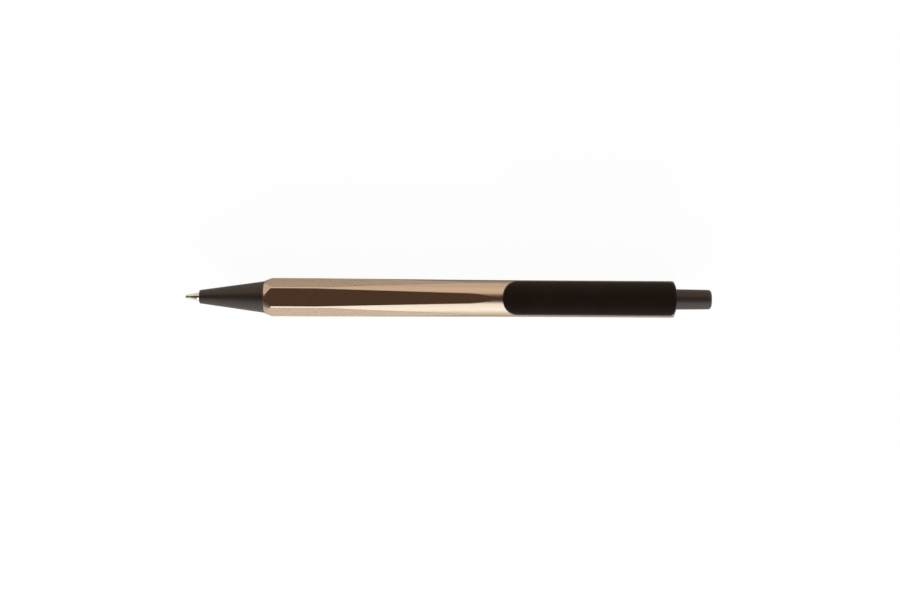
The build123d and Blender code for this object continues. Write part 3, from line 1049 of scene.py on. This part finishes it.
@dataclass
class NoseAssembly:
    """Nose cone with its threaded spigot, and the bush in the barrel that it screws into."""

    front_x: float = -66.3
    rear_x: float = -49.1
    front_radius: float = 1.78
    rear_radius: float = 4.18
    front_fillet: float = 0.4
    hole_radius: float = 1.28
    guide_x: float = -64.4
    guide_radius: float = 1.62
    seat_x: float = -60.3
    chamber_radius: float = 2.1
    spigot_end_x: float = -41.1
    spigot_radius: float = 2.94
    thread_depth: float = 0.22
    thread_lead: float = 0.7
    spigot_edge: float = 0.3
    chamber_edge: float = 0.2
    edge: float = 0.05
    bush_front_x: float = -48.7
    bush_rear_x: float = -40.1
    bush_radius: float = 3.58
    bush_bore_radius: float = 3.0
    bush_edge: float = 0.15
    rounding_steps: int = 10
    cone_steps: int = 16
    spigot_steps: int = 120
    chamber_steps: int = 6
    bush_thread_offset: float = 0.5
    bush_steps: int = 130

    def build(self) -> None:
        """Build the cone and the bush."""
        self.build_cone()
        self.build_bush()

    def build_cone(self) -> None:
        """Build the cone with a rounded front, a crisp rear edge and the thread."""
        lean = math.degrees(math.atan2(self.rear_radius - self.front_radius, self.rear_x - self.front_x))
        rounding = arc(
            (self.front_x + self.front_fillet, self.front_radius - self.front_fillet + self.edge),
            self.front_fillet,
            180,
            90 + lean,
            self.rounding_steps,
        )
        thread_start = self.rear_x + self.thread_lead
        thread_end = self.spigot_end_x - self.spigot_edge
        spigot = run((thread_start, self.spigot_radius), (thread_end, self.spigot_radius), self.spigot_steps)
        chamber_rear = (self.spigot_end_x - self.chamber_edge, self.chamber_radius)
        profile = (
            [(self.front_x + self.edge, self.hole_radius)]
            + rounding
            + run(rounding[-1], (self.rear_x - self.edge, self.rear_radius), self.cone_steps)[1:]
            + [
                (self.rear_x, self.rear_radius - self.edge),
                (self.rear_x, self.spigot_radius + self.edge),
                (self.rear_x + self.edge, self.spigot_radius),
            ]
            + spigot
            + [
                (self.spigot_end_x, self.spigot_radius - self.spigot_edge),
                (self.spigot_end_x, self.chamber_radius),
            ]
            + run(chamber_rear, (self.seat_x, self.chamber_radius), self.chamber_steps)
            + [
                (self.seat_x, self.guide_radius),
                (self.guide_x, self.guide_radius),
                (self.guide_x, self.hole_radius),
            ]
        )
        thread = ScrewThread(thread_start, thread_end, self.spigot_radius, -self.thread_depth)
        skin = Lathe(profile, thread=thread).skin()
        skin.place("nose_cone_shell", Look.NOSE, Body.NOSE, "nose_cone")

    def build_bush(self) -> None:
        """Build the bush with the matching thread in its bore."""
        edge = self.bush_edge
        thread_start = self.bush_front_x + edge
        thread_end = self.bush_rear_x - edge
        bore_radius = self.bush_bore_radius
        bore = run((thread_end, bore_radius), (thread_start, bore_radius), self.bush_steps)
        profile = [
            (self.bush_front_x, bore_radius + edge),
            (self.bush_front_x, self.bush_radius - edge),
            (self.bush_front_x + edge, self.bush_radius),
            (self.bush_rear_x - edge, self.bush_radius),
            (self.bush_rear_x, self.bush_radius - edge),
            (self.bush_rear_x, bore_radius + edge),
        ] + bore
        depth = self.thread_depth
        thread = ScrewThread(thread_start, thread_end, bore_radius, depth, offset=self.bush_thread_offset)
        skin = Lathe(profile, thread=thread).skin()
        skin.place("thread_bush", Look.BRASS, Body.BARREL, "nose_thread_bush")


@dataclass
class RefillAssembly:
    """Refill: turned tip with its ball, tube and ink, and the spring round it."""

    rim_x: float = -69.7
    ball_x: float = -69.5
    socket_radius: float = 0.52
    lip: float = 0.08
    lip_shape: tuple[Point, ...] = ((-0.02, -0.056), (0.0, -0.01), (0.06, 0.01))
    hollow_start: Point = (0.3, 0.05)
    hollow_end: Point = (1.3, 0.79)
    cone_shape: tuple[Point, ...] = ((-0.4, 1.05), (-0.08, 1.115))
    cone_end_x: float = -66.8
    collar: float = 0.3
    tip_radius: float = 1.13
    shoulder_x: float = -62.6
    shoulder_edge: Point = (0.1, 0.06)
    shank_radius: float = 0.98
    shank_end_x: float = -57.0
    shank_edge: float = 0.15
    channel_radius: float = 0.35
    socket_steps: int = 14
    hollow_steps: int = 5
    tip_segments: int = 72
    spring_front_x: float = -60.3
    spring_rear_x: float = -44.3
    spring_radius: float = 1.8
    wire_radius: float = 0.2
    spring_turns: float = 11.0
    turn_steps: int = 36
    wire_steps: int = 12
    end_turns: Span = (0.55, 1.65)
    closed_pitch: float = 0.46
    seat_gap: float = 0.06

    def build(self) -> None:
        """Build the tip and the spring, and dress the nodes that stay."""
        self.build_tip()
        self.build_spring()
        dress("writing_ball", Look.CARBIDE)
        dress("refill_tube", Look.TUBE)
        dress("ink_column", Look.INK)

    def build_tip(self) -> None:
        """Build the tip with its socket, crimped lip, cone and shank."""
        mouth = math.sqrt(self.socket_radius**2 - (self.rim_x - self.ball_x) ** 2)
        opening = math.degrees(math.atan2(mouth, self.rim_x - self.ball_x))
        back = math.degrees(math.asin(self.channel_radius / self.socket_radius))
        socket = arc((self.ball_x, 0.0), self.socket_radius, back, opening, self.socket_steps)
        lip_radius = mouth + self.lip
        hollow_start = (self.rim_x + self.hollow_start[0], lip_radius + self.hollow_start[1])
        hollow_end = (self.rim_x + self.hollow_end[0], self.hollow_end[1])
        profile = (
            socket
            + [(self.rim_x + x, lip_radius + radius) for x, radius in self.lip_shape]
            + run(hollow_start, hollow_end, self.hollow_steps)
            + [(self.cone_end_x + x, radius) for x, radius in self.cone_shape]
            + [
                (self.cone_end_x, self.tip_radius),
                (self.cone_end_x + self.collar, self.tip_radius),
                (self.shoulder_x - self.shoulder_edge[0], self.tip_radius),
                (self.shoulder_x, self.tip_radius - self.shoulder_edge[1]),
                (self.shoulder_x, self.shank_radius),
                (self.shank_end_x - self.shank_edge, self.shank_radius),
                (self.shank_end_x, self.shank_radius - self.shank_edge),
                (self.shank_end_x, self.channel_radius),
            ]
        )
        skin = Lathe(profile, self.tip_segments).skin()
        skin.place("refill_point", Look.NICKEL, Body.REFILL, "refill_tip")

    def build_spring(self) -> None:
        """Build the coil with closed end turns, held by the barrel in front and by the refill behind."""
        count = int(self.spring_turns * self.turn_steps) + 1
        turns = np.linspace(0.0, self.spring_turns, count)
        openness = smooth(turns, *self.end_turns) * smooth(self.spring_turns - turns, *self.end_turns)
        room = self.spring_rear_x - self.spring_front_x - 2 * (self.wire_radius + self.seat_gap)
        step = self.spring_turns / (count - 1)
        added_pitch = (room - self.closed_pitch * self.spring_turns) / (openness[:-1] * step).sum()
        pitch = self.closed_pitch + added_pitch * openness
        along = np.concatenate([[0.0], np.cumsum(pitch[:-1] * step)])
        stations = self.spring_front_x + self.wire_radius + self.seat_gap + along
        angles = turns * FULL_TURN

        out = np.stack([np.zeros(count), np.cos(angles), np.sin(angles)], axis=1)
        round_way = np.stack([np.zeros(count), -np.sin(angles), np.cos(angles)], axis=1)
        heading = self.spring_radius * round_way
        heading[:, 0] = pitch / FULL_TURN
        heading /= np.linalg.norm(heading, axis=1)[:, None]
        side = np.cross(heading, out)
        axis = np.stack([stations, np.zeros(count), np.full(count, AXIS_HEIGHT)], axis=1)
        centre = axis + self.spring_radius * out
        ring = np.arange(self.wire_steps) * FULL_TURN / self.wire_steps
        points = centre[:, None, :] + self.wire_radius * (
            np.cos(ring)[None, :, None] * out[:, None, :] + np.sin(ring)[None, :, None] * side[:, None, :]
        )
        last_ring = (count - 1) * self.wire_steps
        faces = [face for face in closed_grid(count, self.wire_steps) if face[0] < last_ring]
        faces.append(tuple(range(self.wire_steps)))
        faces.append(tuple(last_ring + step for step in range(self.wire_steps)))
        skin = Skin(points.reshape(-1, 3), faces)
        spring = skin.place("coil_spring", Look.STEEL, None, "return_spring")
        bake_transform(spring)


@dataclass
class RearAssembly:
    """Clip, end cap, button and click mechanism, whose CAD shapes stay."""

    looks: tuple[tuple[str, Look], ...] = (
        ("clip", Look.CLIP),
        ("end_cap", Look.CAP),
        ("push_button", Look.BUTTON),
        ("plunger", Look.ACETAL),
        ("cam_rotor", Look.ACETAL),
        ("cam_sleeve", Look.ACETAL),
    )

    def build(self) -> None:
        """Dress the nodes."""
        for node, look in self.looks:
            dress(node, look)


@dataclass
class Studio:
    """Camera over the pen, a pale floor and a soft tent of light with an opening for the camera."""

    lens: float = 85.7
    sensor_width: float = 36.0
    seen_span: Span = (10.0, 50000.0)
    distance: float = 570.0
    elevation: float = math.radians(89)
    turn: float = math.radians(0.335)
    aim: tuple[float, float, float] = (0.36, -0.5, 4.87)
    floor_radius: float = 6000.0
    floor_drop: float = 0.02
    floor_colour: Colour = (0.92, 0.92, 0.92)
    floor_roughness: float = 0.2
    floor_white: float = 0.96
    floor_gloss: float = 0.19
    near_light: Colour = (1.74, 1.91, 2.1)
    near_low_light: Colour = (1.86, 2.12, 2.38)
    far_light: Colour = (1.1, 1.01, 0.915)
    far_low_light: Colour = (0.91, 0.825, 0.73)
    opening: Colour = (0.071, 0.033, 0.0145)
    far_opening: Colour = (0.15, 0.095, 0.06)
    opening_lean: Span = (-0.08, 0.4)
    far_lean: Span = (0.27, 0.66)
    far_rise: Span = (0.1, 0.55)
    near_lean: Span = (-0.35, -0.74)
    near_rise: Span = (0.25, 0.65)
    near_end: Span = (-0.54, -0.28)
    past_end_rise: Span = (0.5, 0.0)
    past_end_share: float = 0.13
    horizon: Colour = (1.0, 1.0, 1.0)
    horizon_rise: Span = (0.0, 0.03)
    key_distance: float = 1350.0
    key_elevation: float = math.radians(16)
    key_size: float = 350.0
    key_power: float = 39.5

    def build(self) -> None:
        """Build the stage."""
        self.build_floor()
        self.build_tent()
        self.build_key()
        self.build_camera()
        bpy.context.scene.view_settings.view_transform = "Standard"

    def build_camera(self) -> None:
        """Look down on the clip's side, as the photograph does."""
        camera = bpy.data.objects.new("camera", bpy.data.cameras.new("camera"))
        bpy.context.scene.collection.objects.link(camera)
        camera.data.lens = self.lens
        camera.data.sensor_width = self.sensor_width
        camera.data.clip_start, camera.data.clip_end = (end * MM for end in self.seen_span)
        away = Vector((0.0, -math.cos(self.elevation), math.sin(self.elevation)))
        camera.location = (Vector(self.aim) + away * self.distance) * MM
        rolled = (-away).to_track_quat("-Z", "Y").to_matrix()
        right, up = rolled.col[0].copy(), rolled.col[1].copy()
        rolled.col[0] = right * math.cos(self.turn) + up * math.sin(self.turn)
        rolled.col[1] = up * math.cos(self.turn) - right * math.sin(self.turn)
        camera.rotation_euler = rolled.to_euler()
        bpy.context.scene.camera = camera

    def build_floor(self) -> None:
        """Lay a wide pale floor that is near white to the camera and keeps the pen's shadow."""
        mesh = bpy.data.meshes.new("floor")
        corners = [(-1, -1), (1, -1), (1, 1), (-1, 1)]
        height = -self.floor_drop * MM
        size = self.floor_radius * MM
        mesh.from_pydata([(x * size, y * size, height) for x, y in corners], [], [(0, 1, 2, 3)])
        floor = bpy.data.objects.new("floor", mesh)
        bpy.context.scene.collection.objects.link(floor)
        material = bpy.data.materials.new("pale_floor")
        material.use_nodes = True
        graph = Graph(material.node_tree)
        rays = graph.node("ShaderNodeLightPath")
        camera = Value(graph, rays.outputs["Is Camera Ray"])
        glossy = Value(graph, rays.outputs["Is Glossy Ray"])
        passing = Value(graph, rays.outputs["Is Transmission Ray"])
        sheet = {"Base Color": (*self.floor_colour, 1.0), "Roughness": self.floor_roughness}
        paper = graph.value("ShaderNodeBsdfPrincipled", "BSDF", None, sheet)
        white = graph.value("ShaderNodeEmission", "Emission", None, {"Color": (1.0, 1.0, 1.0, 1.0)})
        share = (camera + passing) * self.floor_white + glossy * self.floor_gloss
        sockets = {"Fac": share, "Shader": paper, "Shader_001": white}
        shown = graph.value("ShaderNodeMixShader", "Shader", None, sockets)
        graph.node("ShaderNodeOutputMaterial", None, {"Surface": shown})
        mesh.materials.append(material)

    def build_key(self) -> None:
        """Set a soft lamp low on the near side; the tent stands in for it in reflections."""
        lamp = bpy.data.lights.new("key", "AREA")
        lamp.shape = "DISK"
        lamp.size = self.key_size * MM
        lamp.energy = self.key_power
        key = bpy.data.objects.new("key", lamp)
        bpy.context.scene.collection.objects.link(key)
        away = Vector((0.0, -math.cos(self.key_elevation), math.sin(self.key_elevation)))
        key.location = away * self.key_distance * MM
        key.rotation_euler = (-away).to_track_quat("-Z", "Y").to_euler()
        key.visible_glossy = False

    def build_tent(self) -> None:
        """Light the pen from both sides, more from the near one, with a dark opening overhead."""
        world = bpy.data.worlds.new("tent")
        bpy.context.scene.world = world
        world.use_nodes = True
        graph = Graph(world.node_tree)
        direction = graph.value("ShaderNodeTexCoord", "Generated")
        split = graph.node("ShaderNodeSeparateXYZ", None, {"Vector": direction})
        along = Value(graph, split.outputs["X"])
        across = Value(graph, split.outputs["Y"])
        up = Value(graph, split.outputs["Z"])
        lean = across / up
        far = graph.between(lean, *self.far_lean)
        reach = graph.between(along, *self.near_end)
        past_end = (1 - reach) * graph.between(up, *self.past_end_rise) * self.past_end_share
        near = graph.between(lean, *self.near_lean) * (reach + past_end)
        overhead = graph.mixed(graph.between(lean, *self.opening_lean), self.opening, self.far_opening)
        far_light = graph.mixed(graph.between(up, *self.far_rise), self.far_low_light, self.far_light)
        near_light = graph.mixed(graph.between(up, *self.near_rise), self.near_low_light, self.near_light)
        sides = graph.mixed(near, graph.mixed(far, overhead, far_light), near_light)
        shown = graph.mixed(graph.between(up, *self.horizon_rise), self.horizon, sides)
        light = graph.value("ShaderNodeBackground", "Background", None, {"Color": shown})
        graph.node("ShaderNodeOutputWorld", None, {"Surface": light})


def main() -> None:
    """Build the pen and the stage."""
    logging.basicConfig(level=logging.INFO, format="%(message)s")
    for part in (BarrelTube(), NoseAssembly(), RefillAssembly(), RearAssembly(), Studio()):
        part.build()
        log.info("built %s", type(part).__name__)


if __name__ == "__main__":
    main()
